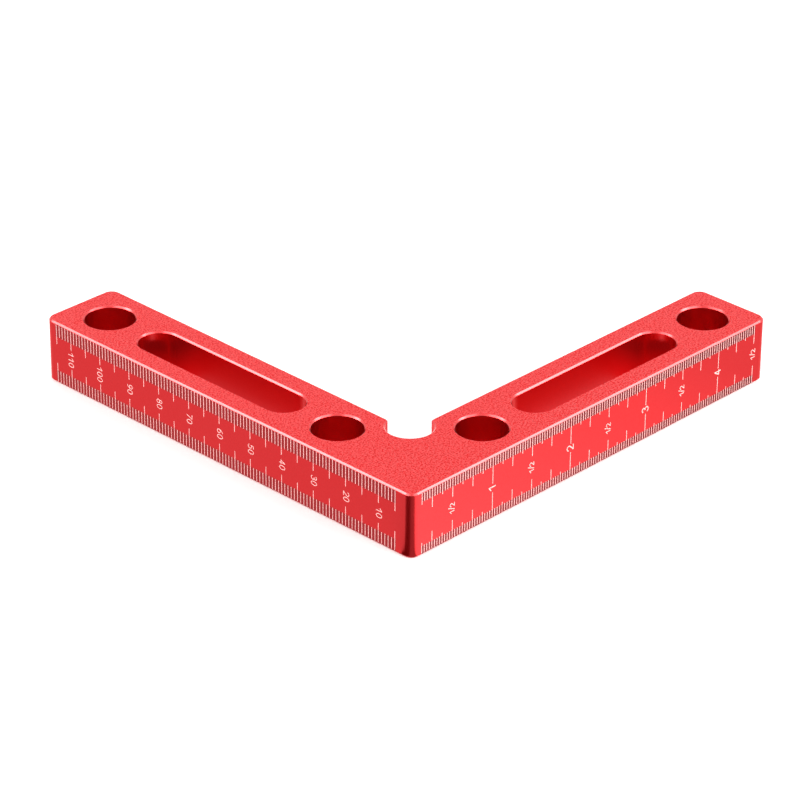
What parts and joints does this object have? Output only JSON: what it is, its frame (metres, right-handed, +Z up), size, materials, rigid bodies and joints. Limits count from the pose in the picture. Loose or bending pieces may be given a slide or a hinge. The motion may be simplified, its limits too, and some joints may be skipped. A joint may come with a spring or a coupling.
{
  "type": "clamping square",
  "caption": "L-shaped right-angle clamping square in red anodised aluminium, with round clamp holes, long slots, a relieved inner corner and millimetre and inch scales on its outer faces.",
  "frame": {"origin": "centre of the block's outline on the face that it lies on", "axes": "+X along the leg with the inch scale and +Y along the leg with the millimetre scale, both away from the outer corner; +Z up, along the holes"},
  "size_m": [0.119, 0.119, 0.0158],
  "materials": {
    "red_anodised": "fine bead blast under bright red anodising, satin, with bright chamfers",
    "scale_white": "matt white fill, flush with the face"
  },
  "bodies": {
    "root": {"square_body": "red_anodised", "millimetre_scale": "scale_white", "inch_scale": "scale_white"}
  },
  "joints": []
}
